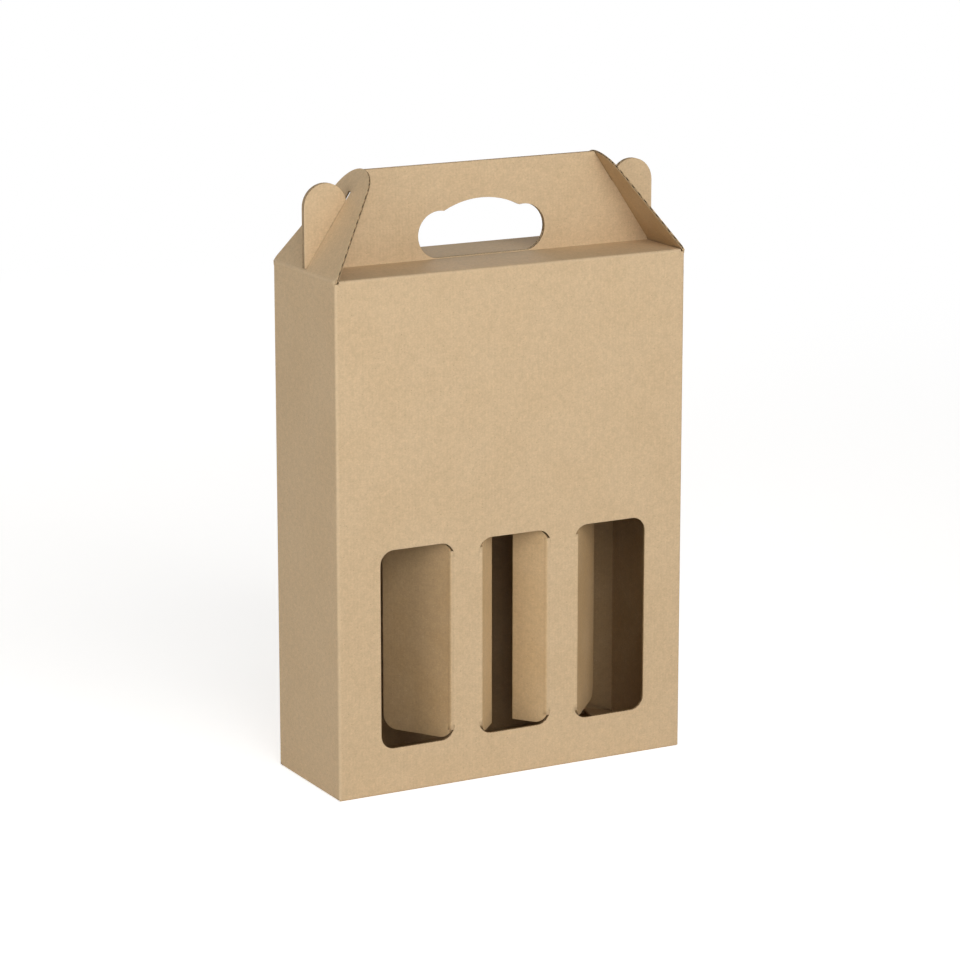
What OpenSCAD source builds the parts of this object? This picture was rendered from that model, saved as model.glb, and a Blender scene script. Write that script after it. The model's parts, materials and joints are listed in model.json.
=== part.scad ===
// Three-bottle carrier carton with windows, folded from one blank of fine-flute brown board.
// The origin is the centre of the body's footprint on the floor, +Z is up, and the front
// panel with its windows faces -Y. All lengths are millimetres and all angles are degrees.

/* [Carton body] */
// Outside width of the body
body_w = 255; // [250:1:290]
// Outside depth of the body
body_d = 90; // [84:1:110]
// Height of the body from the floor to the roof
body_h = 340; // [300:1:380]
// Thickness of the board
board_t = 1.5; // [1.2:0.1:1.8]
// Inside radius of a folded crease
crease_r = 0.3; // [0.2:0.05:0.5]

/* [Glue seam] */
// Width of the glue tab inside the back panel
tab_w = 32; // [20:1:40]
// Length of the bevel at each end of the glue tab
tab_bevel = 14; // [6:1:25]
// How far the back panel's cut edge stays inside the end face
seam_set = 0.5; // [0.3:0.1:1]

/* [Handle] */
// Height of the handle above the roof
handle_h = 61.5; // [50:0.5:75]
// Gap between the two handle panels
handle_gap = 0.2; // [0.1:0.05:0.5]
// Gap between the ends of the roof strips and the end faces
roof_set = 2.9; // [2.8:0.1:4]

/* [Hand hole] */
// Distance of each lobe's centre from the middle of the hole
lobe_x = 31; // [24:0.5:36]
// Radius of the two end lobes
lobe_r = 15.6; // [12:0.1:18]
// Width of the raised middle of the hole
crown_w = 55.4; // [40:0.2:60]
// Height of the raised middle above the roof
crown_h = 37.6; // [34:0.2:44]
// Height of the hole's lower edge above the fold of the handle
hole_foot = 0.1; // [0.1:0.1:2]

/* [Ears of the handle] */
// Radius of an ear's rounded head
ear_r = 15; // [11:0.5:18]
// Height of an ear above the roof
ear_h = 55; // [46:0.5:60]
// Height above the roof at which an ear starts
ear_foot = 1.6; // [1.5:0.1:4]
// Length of an ear's head past its neck
ear_head = 7; // [5:0.5:9]

/* [Lock flaps] */
// Lean of a closed lock flap from upright
lock_tilt = 34; // [28:0.5:40]
// Reach of a lock flap from its crease
lock_reach = 75.2; // [72:0.2:84]
// Radius of a lock flap's arched top
lock_crown_r = 23; // [18:0.5:27]
// Length of the straight edges next to the crease
lock_shoulder = 3; // [1:0.5:8]
// Gap between a lock flap's edge and the corner of the body
lock_side = 0.4; // [0.3:0.1:1.5]
// Gap between a lock flap and the ends of the handle
lock_rest_gap = 0.25; // [0.2:0.05:0.6]
// Gap on each side of an ear in its slot
slot_clear = 0.35; // [0.25:0.05:0.8]
// Gap between an ear's head and the far end of the slot
slot_end_clear = 0.5; // [0.4:0.1:2]

/* [Windows] */
// Width of a window
window_w = 53.4; // [46:0.2:58]
// Height of a window
window_h = 132.4; // [100:0.2:200]
// Height of the windows' lower edge above the floor
window_z = 30.5; // [20:0.5:60]
// Corner radius of a window
window_r = 9.5; // [7:0.5:16]
// Distance between the middles of neighbouring windows
window_pitch = 71.4; // [66:0.2:76]
// How far the row of windows lies to the right of the middle
window_shift = 1; // [-2:0.5:2]

/* [Window flaps] */
// Distance of a crease from the side of its window
crease_set = 1.2; // [0.8:0.1:3]
// Cut gap between a window flap and its window
cut_gap = 0.3; // [0.25:0.05:0.6]
// Fold of the left window's flap from closed
left_fold = 58; // [30:1:80]
// Fold of the middle window's left half from closed
mid_left_fold = 47; // [30:1:80]
// Fold of the middle window's right half from closed
mid_right_fold = 52; // [30:1:80]
// Fold of the right window's flap from closed
right_fold = 48; // [30:1:80]

/* [Bottom] */
// Reach of the end flaps along the back wall
end_flap_l = 28.5; // [22:0.5:40]
// How much further the end flaps reach at their hooked front
end_flap_hook = 15; // [5:1:20]
// Slope at which the end flaps spring up from the floor
end_flap_rise = 16; // [11:0.5:18]
// Gap between the end flaps and the folded corners of the body
end_flap_side = 0.5; // [0.3:0.1:2]
// Length of the bevel at an end flap's back corner
end_bevel_l = 10.7; // [5:0.1:14]
// Width of the bevel at an end flap's back corner
end_bevel_w = 5.6; // [3:0.1:9]
// Length of the bevel at an end flap's front corner
end_front_bevel = 6; // [3:0.5:10]
// How far the two large bottom flaps stay inside the end faces
floor_set = 9.5; // [9:0.5:16]
// Overlap of each large bottom flap past the middle
floor_lap = 11; // [6:1:16]
// Length of the tapered corners of the large bottom flaps
floor_taper = 30; // [16:1:34]
// Bevel at the free corners of the front bottom flap
floor_bevel = 4; // [2:0.5:8]
// Gap between two layers of the bottom
layer_gap = 0.2; // [0.1:0.05:0.5]
// Width of the locking tongue
tongue_w = 84; // [60:1:110]
// Reach of the locking tongue past the flap that carries it
tongue_l = 26; // [18:1:28]
// Gap on each side of the tongue in its slot
tongue_side = 1; // [0.5:0.1:2]
// Length of the slope where a layer steps over another
step_l = 8; // [6:0.5:10]
// Gap between a flap's edge and the slope that steps over it
step_gap = 2; // [1:0.5:4]

/* [Hidden] */
$fn = 96;
fold_r = board_t + crease_r;
half_w = body_w / 2;
half_d = body_d / 2;
half_t = board_t / 2;
handle_y = handle_gap / 2;
roof_w = body_w - 2 * roof_set;

// The arc of an end flap's fold runs on into the flap by this angle.
fold_lap = 1;
// Cutting shapes and hidden ends of joined shapes reach this far past the face they meet.
past = 1;
cardboard = "#c8a47a";
cardboard_side = "#b8946a";

// A lock flap turns about the middle of the board at the top of an end wall.
hinge_x = half_w - half_t;
hinge_z = body_h - half_t;
lock_crown_z = lock_reach - lock_crown_r;
lock_half = half_d - lock_side;

// The ends of the handle lie along the inner faces of the closed lock flaps.
function slope_x(z) = hinge_x - (z - hinge_z) * tan(lock_tilt)
    - (half_t + lock_rest_gap) / cos(lock_tilt);
ear_x = half_w - ear_r;
ear_z = body_h + ear_h - ear_r;
ear_sweep = norm([ear_x - hinge_x, ear_z - hinge_z]) + ear_r;
slot_start = (ear_foot + half_t - slot_clear - half_t * sin(lock_tilt)) / cos(lock_tilt);
slot_end = ear_sweep + slot_end_clear;
slot_w = 2 * (handle_y + board_t + slot_clear);
neck_r = ear_sweep - ear_head;

// The straight side of a lock flap is tangent to its arched top.
side_dir = atan2(lock_crown_z - lock_shoulder, -lock_half)
    - asin(lock_crown_r / norm([lock_half, lock_crown_z - lock_shoulder]));
side_len = sqrt(pow(norm([lock_half, lock_crown_z - lock_shoulder]), 2) - pow(lock_crown_r, 2));
side_top = [lock_half + side_len * cos(side_dir), lock_shoulder + side_len * sin(side_dir)];

// The raised middle of the hand hole is one arc through its ends and its top.
crown_side_z = lobe_r + sqrt(pow(lobe_r, 2) - pow(lobe_x - crown_w / 2, 2));
crown_rise = crown_h - crown_side_z;
crown_arc_r = (pow(crown_w / 2, 2) + pow(crown_rise, 2)) / (2 * crown_rise);

// A window flap turns about the middle of the front panel, just inside its crease.
flap_y = -half_d + half_t;
flap_in = crease_set + crease_r + half_t;
full_reach = window_w - flap_in - cut_gap;
half_reach = window_w / 2 - flap_in - cut_gap;
window_x = [for (i = [-1:1]) window_shift + i * window_pitch];

// The back flap lies on the floor, the front flap on it, and the tongue on both.
front_lift = board_t + layer_gap;
tongue_lift = front_lift + board_t + layer_gap;
step_y = -floor_lap - step_gap;

// Flat shapes

module ring_sector(outer, inner, from, to) {
    far = 3 * outer;
    middle = (from + to) / 2;
    intersection() {
        difference() {
            circle(r = outer);
            circle(r = inner);
        }
        polygon([[0, 0], far * [cos(from), sin(from)], far * [cos(middle), sin(middle)],
            far * [cos(to), sin(to)]]);
    }
}

module rounded_outline(w, h, r) {
    translate([r, 0]) square([w - 2 * r, h]);
    translate([0, r]) square([w, h - 2 * r]);
    for (x = [r, w - r], y = [r, h - r]) translate([x, y]) circle(r = r);
}

module hand_hole_outline() {
    translate([0, body_h]) difference() {
        union() {
            for (side = [-1, 1]) translate([side * lobe_x, lobe_r]) circle(r = lobe_r);
            translate([-lobe_x, 0]) square([2 * lobe_x, lobe_r]);
            translate([-crown_w / 2, lobe_r / 2]) square([crown_w, crown_side_z - lobe_r / 2]);
            intersection() {
                translate([0, crown_h - crown_arc_r]) circle(r = crown_arc_r);
                translate([-crown_w / 2, lobe_r]) square([crown_w, crown_h]);
            }
        }
        translate([-body_w, -body_h]) square([2 * body_w, body_h + crease_r + hole_foot]);
    }
}

// The right half of a handle panel with its ear, seen from the front.
module handle_half_outline() {
    foot = body_h + crease_r;
    top = body_h + handle_h;
    polygon([[0, foot], [slope_x(foot), foot], [slope_x(top), top], [0, top]]);
    translate([ear_x, ear_z]) circle(r = ear_r);
    lean = [-sin(lock_tilt), cos(lock_tilt)];
    across = [-cos(lock_tilt), -sin(lock_tilt)];
    hinge = [hinge_x, hinge_z];
    polygon([
        [slope_x(body_h + ear_foot) - past, body_h + ear_foot],
        [half_w, body_h + ear_foot],
        [half_w, ear_z],
        [ear_x, ear_z],
        hinge + neck_r * lean - half_t * across,
        hinge + neck_r * lean + (half_t + lock_rest_gap + past) * across
    ]);
}

module handle_outline() {
    difference() {
        union() {
            handle_half_outline();
            mirror([1, 0]) handle_half_outline();
        }
        hand_hole_outline();
    }
}

// The window as it is cut: its crease side keeps a straight lip between the corners.
module window_cut(left_crease, right_crease) {
    lip_h = window_h - 2 * window_r;
    difference() {
        translate([-window_w / 2, window_z]) rounded_outline(window_w, window_h, window_r);
        if (left_crease)
            translate([-window_w / 2 - past, window_z + window_r]) square([past + crease_set, lip_h]);
        if (right_crease)
            translate([window_w / 2 - crease_set, window_z + window_r]) square([crease_set + past, lip_h]);
    }
}

// Straight end of a bend at this angle, which runs on into its panel. A negative reach turns back.
module leg(angle, reach) {
    rotate(angle) translate([crease_r, min(reach, 0)]) square([board_t, abs(reach)]);
}

// Board bent about a crease along X, with legs of their own lengths for its two panels.
module crease_bar(length, from, to, from_length, to_length, to_reach) {
    rotate([90, 0, 90]) {
        linear_extrude(length, center = true) ring_sector(fold_r, crease_r, from, to);
        linear_extrude(from_length, center = true) {
            ring_sector(fold_r, crease_r, from, to);
            leg(from, -past);
        }
        linear_extrude(to_length, center = true) {
            ring_sector(fold_r, crease_r, from, to);
            leg(to, to_reach);
        }
    }
}

// Board bent about the upright crease between two walls, from the floor's folds to the roof's.
module corner(from, to) {
    translate([0, 0, fold_r / 2]) linear_extrude(body_h - 1.5 * fold_r)
        ring_sector(fold_r, crease_r, from, to);
    translate([0, 0, 2 * fold_r]) linear_extrude(body_h - 4 * fold_r) {
        ring_sector(fold_r, crease_r, from, to);
        leg(from, -past);
        leg(to, past);
    }
}

// Carton

module front_panel() {
    rotate([90, 0, 0]) translate([0, 0, half_d - board_t]) linear_extrude(board_t) difference() {
        translate([-half_w + fold_r, fold_r]) square([body_w - 2 * fold_r, body_h - 2 * fold_r]);
        translate([window_x[0], 0]) window_cut(false, true);
        translate([window_x[1], 0]) window_cut(true, true);
        translate([window_x[2], 0]) window_cut(true, false);
    }
}

module back_panel() {
    translate([-half_w + fold_r, half_d - board_t, fold_r])
        cube([body_w - fold_r - seam_set, board_t, body_h - 2 * fold_r]);
}

module end_walls_and_corners() {
    seam_y = half_d - board_t;
    translate([0, 0, fold_r]) linear_extrude(body_h - 2 * fold_r) {
        translate([-half_w, -half_d + fold_r]) square([board_t, body_d - 2 * fold_r]);
        translate([half_w - board_t, -half_d + fold_r]) square([board_t, seam_y + half_d - 2 * fold_r]);
    }
    translate([-half_w + fold_r, -half_d + fold_r]) corner(180, 270);
    translate([half_w - fold_r, -half_d + fold_r]) corner(270, 360);
    translate([-half_w + fold_r, half_d - fold_r]) corner(90, 180);
    translate([half_w - fold_r, seam_y - fold_r]) corner(0, 90);
}

module glue_tab() {
    x0 = half_w - fold_r - tab_w;
    x1 = half_w - fold_r;
    z0 = fold_r;
    z1 = body_h - fold_r;
    translate([0, half_d - board_t, 0]) rotate([90, 0, 0]) linear_extrude(board_t)
        polygon([[x1, z0], [x1, z1], [x0, z1 - tab_bevel], [x0, z0 + tab_bevel]]);
}

module long_creases() {
    wall_l = body_w - 4 * fold_r;
    floor_l = body_w - 2 * (floor_set + fold_r);
    for (side = [0, 1]) mirror([0, side, 0]) {
        translate([0, -half_d + fold_r, fold_r])
            crease_bar(body_w - fold_r, 180, 270, wall_l, floor_l, past);
        translate([0, -half_d + fold_r, body_h - fold_r])
            crease_bar(roof_w, 90, 180, roof_w - fold_r, roof_w - fold_r, past);
    }
}

module roof_strips() {
    inner_y = handle_y + fold_r;
    for (side = [0, 1]) mirror([0, side, 0]) {
        translate([-roof_w / 2, -half_d + fold_r, body_h - board_t])
            cube([roof_w, half_d - fold_r - inner_y, board_t]);
        translate([0, -inner_y, body_h + crease_r])
            crease_bar(roof_w, 270, 360, roof_w - fold_r, roof_w - fold_r, hole_foot);
    }
}

module handle_panels() {
    for (y = [-handle_y, handle_y + board_t])
        translate([0, y, 0]) rotate([90, 0, 0]) linear_extrude(board_t) handle_outline();
}

// A bottom flap is its side profile cut to its outline as seen from above.
module cut_to_outline(outline) {
    intersection() {
        children();
        translate([0, 0, -past]) linear_extrude(tongue_lift + board_t + 2 * past) polygon(outline);
    }
}

// Side profile of board that steps up from the floor, given in Y and Z.
module stepped_profile(start, step_from, step_to, end, lift, width) {
    rotate([90, 0, 90]) linear_extrude(width, center = true) polygon([
        [start, 0], [step_from, 0], [step_to, lift], [end, lift],
        [end, lift + board_t], [step_to, lift + board_t], [step_from, board_t], [start, board_t]
    ]);
}

module front_bottom_flap() {
    x_wall = half_w - floor_set;
    x_end = x_wall - floor_taper / 2;
    y_wall = -half_d + fold_r;
    difference() {
        cut_to_outline([[-x_wall, y_wall], [x_wall, y_wall], [x_wall, step_y - 2 * step_l],
            [x_end, step_y - step_l], [x_end, floor_lap - floor_bevel],
            [x_end - floor_bevel, floor_lap], [floor_bevel - x_end, floor_lap],
            [-x_end, floor_lap - floor_bevel], [-x_end, step_y - step_l],
            [-x_wall, step_y - 2 * step_l]])
            stepped_profile(y_wall, step_y - step_l, step_y, floor_lap, front_lift, body_w);
        translate([-tongue_w / 2 - tongue_side, -floor_lap - step_l, -past])
            cube([tongue_w + 2 * tongue_side, step_l + tongue_side, tongue_lift + 2 * past]);
    }
}

module back_bottom_flap() {
    x_wall = half_w - floor_set;
    x_end = x_wall - floor_taper;
    y_wall = half_d - fold_r;
    cut_to_outline([[-x_wall, y_wall], [x_wall, y_wall], [x_wall, 0], [x_end, -floor_lap],
        [-x_end, -floor_lap], [-x_wall, 0]])
        stepped_profile(y_wall, 0, 0, -floor_lap - past, 0, body_w);
}

module locking_tongue() {
    y_end = -floor_lap - tongue_l;
    half = tongue_w / 2;
    cut_to_outline([[-half, 0], [half, 0], [half, y_end + step_l], [half - step_l, y_end],
        [step_l - half, y_end], [-half, y_end + step_l]])
        stepped_profile(0, -floor_lap, -floor_lap - step_l, y_end - past, tongue_lift, tongue_w);
}

// An end flap leaves the right end wall and springs up a little from the floor.
module right_end_flap() {
    y_back = half_d - board_t - fold_r - end_flap_side;
    x_wall = half_w - fold_r;
    x_free = half_w - end_flap_l;
    x_hook = x_free - end_flap_hook;
    length = 2 * (end_flap_l + end_flap_hook);
    translate([x_wall, 0, fold_r]) rotate([90, 0, 0]) linear_extrude(2 * y_back, center = true) {
        ring_sector(fold_r, crease_r, 270 - end_flap_rise - fold_lap, 360);
        leg(0, past);
    }
    intersection() {
        translate([x_wall, 0, fold_r]) rotate([0, end_flap_rise, 0])
            translate([-length, -half_d, -fold_r]) cube([length, body_d, board_t]);
        linear_extrude(body_h) polygon([
            [half_w, y_back], [x_free + end_bevel_l, y_back], [x_free, y_back - end_bevel_w],
            [x_hook, -half_d / 3], [x_hook, -half_d / 2],
            [x_free + end_front_bevel, -y_back], [half_w, -y_back]
        ]);
    }
}

module carton() {
    color(cardboard) {
        front_panel();
        back_panel();
        end_walls_and_corners();
        glue_tab();
        long_creases();
        roof_strips();
        handle_panels();
        front_bottom_flap();
        back_bottom_flap();
        locking_tongue();
        right_end_flap();
        mirror([1, 0, 0]) right_end_flap();
    }
}

// Lock flaps

module lock_flap_outline() {
    difference() {
        union() {
            translate([0, lock_crown_z]) circle(r = lock_crown_r);
            polygon([[-lock_half, 0], [lock_half, 0], [lock_half, lock_shoulder], side_top,
                [-side_top[0], side_top[1]], [-lock_half, lock_shoulder]]);
        }
        translate([-slot_w / 2, slot_start]) square([slot_w, slot_end - slot_start]);
    }
}

// The left lock flap; its root is a full round about the crease.
module lock_flap() {
    translate([-hinge_x, 0, hinge_z]) rotate([0, lock_tilt, 0]) {
        rotate([90, 0, 90]) linear_extrude(board_t, center = true) lock_flap_outline();
        rotate([90, 0, 0]) cylinder(r = half_t, h = 2 * lock_half, center = true);
    }
}

module left_lock_flap() {
    color(cardboard_side) lock_flap();
}

module right_lock_flap() {
    color(cardboard_side) mirror([1, 0, 0]) lock_flap();
}

// Window flaps

// A flap in the plane of the front panel, with its crease on Z and its free side along +X.
module window_flap(reach) {
    lip = window_r + cut_gap;
    rotate([90, 0, 0]) linear_extrude(board_t, center = true) intersection() {
        translate([-half_t, window_z + cut_gap])
            rounded_outline(full_reach + half_t, window_h - 2 * cut_gap, window_r - cut_gap);
        translate([0, window_z]) square([reach, window_h]);
    }
    translate([0, 0, window_z + lip]) cylinder(r = half_t, h = window_h - 2 * lip);
}

module left_window_flap() {
    color(cardboard) translate([window_x[0] + window_w / 2 - flap_in, flap_y, 0])
        rotate([0, 0, 180 - left_fold]) window_flap(full_reach);
}

module middle_left_window_flap() {
    color(cardboard) translate([window_x[1] - window_w / 2 + flap_in, flap_y, 0])
        rotate([0, 0, mid_left_fold]) window_flap(half_reach);
}

module middle_right_window_flap() {
    color(cardboard) translate([window_x[1] + window_w / 2 - flap_in, flap_y, 0])
        rotate([0, 0, 180 - mid_right_fold]) window_flap(half_reach);
}

module right_window_flap() {
    color(cardboard) translate([window_x[2] - window_w / 2 + flap_in, flap_y, 0])
        rotate([0, 0, right_fold]) window_flap(full_reach);
}

carton();
left_lock_flap();
right_lock_flap();
left_window_flap();
middle_left_window_flap();
middle_right_window_flap();
right_window_flap();
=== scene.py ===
"""Looks of a three-bottle carrier carton folded from brown corrugated board.

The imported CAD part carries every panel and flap. This script gives the board its kraft liner,
lays the fluted medium along each cut edge, bends the outer liner over each moving crease,
and sets the floor, the lamps and the camera.
"""

import json
import logging
import math
from dataclasses import dataclass, field
from enum import Enum
from typing import Iterator, Optional

import bmesh
import bpy
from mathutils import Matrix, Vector


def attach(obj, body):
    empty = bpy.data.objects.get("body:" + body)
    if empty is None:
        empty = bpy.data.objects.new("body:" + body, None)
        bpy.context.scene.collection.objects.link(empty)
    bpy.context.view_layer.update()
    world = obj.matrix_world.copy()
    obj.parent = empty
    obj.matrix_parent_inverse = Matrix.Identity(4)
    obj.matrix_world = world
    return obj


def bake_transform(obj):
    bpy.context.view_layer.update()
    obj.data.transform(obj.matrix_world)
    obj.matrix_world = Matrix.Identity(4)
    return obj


Colour = tuple[float, float, float]
# A noise's scale, detail and roughness
Noise = tuple[float, float, float]
# A value's low and high end, and the results there
Ramp = tuple[float, float, float, float]
Pair = tuple[Vector, Vector]

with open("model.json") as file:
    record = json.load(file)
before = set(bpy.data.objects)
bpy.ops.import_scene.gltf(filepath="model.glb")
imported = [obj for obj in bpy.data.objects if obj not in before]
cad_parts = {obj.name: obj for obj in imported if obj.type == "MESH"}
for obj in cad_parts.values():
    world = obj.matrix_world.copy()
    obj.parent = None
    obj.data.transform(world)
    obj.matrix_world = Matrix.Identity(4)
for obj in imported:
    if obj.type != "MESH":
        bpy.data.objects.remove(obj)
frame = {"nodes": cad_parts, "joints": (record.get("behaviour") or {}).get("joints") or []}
LOG = logging.getLogger("carton")
MM = 0.001
PANEL_SHARE = "panel_share"
BOX_CENTRE = Vector((0.0, 0.0, 0.17))
BOARD = 1.5 * MM
FLUTE_PITCH = 2.3 * MM
LIP_PROUD = 0.06 * MM
WHITE = (1.0, 1.0, 1.0)


class Body(Enum):
    """The CAD bodies, by the names that the frame gives them."""

    CARTON = "carton"
    LEFT_LOCK = "left_lock_flap"
    RIGHT_LOCK = "right_lock_flap"
    LEFT_WINDOW = "left_window_flap"
    MIDDLE_LEFT_WINDOW = "middle_left_window_flap"
    MIDDLE_RIGHT_WINDOW = "middle_right_window_flap"
    RIGHT_WINDOW = "right_window_flap"


class FluteRun(Enum):
    """How a body's flutes are counted off across its surface."""

    BY_WALL = "by_wall"
    ALONG_DEPTH = "along_depth"
    ALONG_FLAP = "along_flap"


# Shader graphs


class Graph:
    """Adds and joins the nodes of one tree."""

    def __init__(self, tree: bpy.types.NodeTree) -> None:
        """Keeps the tree that the nodes go into."""
        self.tree = tree

    def add(self, kind: str, **settings: object) -> bpy.types.Node:
        """Adds a node.

        Args:
            kind: The node's type name.
            settings: Properties to set on the node.

        Returns:
            The new node.
        """
        node = self.tree.nodes.new(kind)
        for name, value in settings.items():
            setattr(node, name, value)
        return node

    def join(self, source: object, target: bpy.types.NodeSocket) -> None:
        """Feeds a socket or a plain value into a node.

        Args:
            source: The socket to link from, or the value to write.
            target: The input that takes it.
        """
        if isinstance(source, bpy.types.NodeSocket):
            self.tree.links.new(source, target)
        else:
            target.default_value = source

    def math(self, operation: str, *values: object, clamp: bool = False) -> bpy.types.NodeSocket:
        """Works out one sum of sockets and numbers.

        Args:
            operation: The Math node's operation.
            values: Its inputs in order.
            clamp: Whether the result is kept from 0 to 1.

        Returns:
            The result's socket.
        """
        node = self.add("ShaderNodeMath", operation=operation, use_clamp=clamp)
        for value, target in zip(values, node.inputs):
            self.join(value, target)
        return node.outputs[0]

    def vector_math(self, operation: str, *values: object) -> bpy.types.Node:
        """Works out one sum of vectors.

        Args:
            operation: The Vector Math node's operation.
            values: Its inputs in order.

        Returns:
            The node, which has a vector and a number as outputs.
        """
        node = self.add("ShaderNodeVectorMath", operation=operation)
        for value, target in zip(values, node.inputs):
            self.join(value, target)
        return node

    def ramp(self, value: object, low: float, high: float,
             to_low: float = 0.0, to_high: float = 1.0) -> bpy.types.NodeSocket:
        """Maps a value from one range to another, smoothly and clamped.

        Args:
            value: The socket or number to map.
            low: Where the ramp starts.
            high: Where it ends.
            to_low: The result at the start.
            to_high: The result at the end.

        Returns:
            The mapped socket.
        """
        node = self.add("ShaderNodeMapRange", interpolation_type="SMOOTHSTEP")
        for index, item in enumerate((value, low, high, to_low, to_high)):
            self.join(item, node.inputs[index])
        return node.outputs[0]

    def blend(self, factor: object, first: object, second: object,
              mode: str = "MIX") -> bpy.types.NodeSocket:
        """Mixes two colours.

        Args:
            factor: How much of the second colour shows.
            first: A colour or its socket.
            second: The other colour or its socket.
            mode: The blend type.

        Returns:
            The mixed colour's socket.
        """
        node = self.add("ShaderNodeMix", data_type="RGBA", blend_type=mode)
        self.join(factor, node.inputs[0])
        self.join(first, node.inputs[6])
        self.join(second, node.inputs[7])
        return node.outputs[2]

    def noise(self, place: object, scale: float, detail: float,
              roughness: float) -> bpy.types.NodeSocket:
        """Adds fractal noise.

        Args:
            place: The point's socket.
            scale: The largest grain's count per metre.
            detail: How many finer grains are added.
            roughness: How strongly the finer ones show.

        Returns:
            The noise's value, from 0 to 1.
        """
        node = self.add("ShaderNodeTexNoise")
        self.join(place, node.inputs["Vector"])
        node.inputs["Scale"].default_value = scale
        node.inputs["Detail"].default_value = detail
        node.inputs["Roughness"].default_value = roughness
        return node.outputs[0]

    def split(self, vector: object) -> bpy.types.bpy_prop_collection:
        """Splits a vector and returns the outputs X, Y and Z."""
        node = self.add("ShaderNodeSeparateXYZ")
        self.join(vector, node.inputs[0])
        return node.outputs

    def stretch(self, place: object, height: float) -> bpy.types.NodeSocket:
        """Multiplies a point's height and returns the point's socket."""
        node = self.add("ShaderNodeMapping")
        self.join(place, node.inputs["Vector"])
        node.inputs["Scale"].default_value = (1.0, 1.0, height)
        return node.outputs[0]

    def emboss(self, height: object, strength: float, distance: float,
               shader: bpy.types.Node) -> None:
        """Bumps a shader's surface.

        Args:
            height: The relief's socket.
            strength: How much of the relief shows.
            distance: What the relief is multiplied by, in metres.
            shader: The Principled node.
        """
        node = self.add("ShaderNodeBump")
        node.inputs["Strength"].default_value = strength
        node.inputs["Distance"].default_value = distance
        self.join(height, node.inputs["Height"])
        self.join(node.outputs[0], shader.inputs["Normal"])


def rgba(colour: Colour) -> tuple[float, float, float, float]:
    """Returns a colour with full cover."""
    return (*colour, 1.0)


def new_material(name: str) -> tuple[bpy.types.Material, Graph, bpy.types.Node]:
    """Makes an empty Principled material.

    Args:
        name: The material's name.

    Returns:
        The material, its graph and its Principled node.
    """
    material = bpy.data.materials.new(name)
    material.use_nodes = True
    shader = material.node_tree.nodes["Principled BSDF"]
    return material, Graph(material.node_tree), shader


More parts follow.
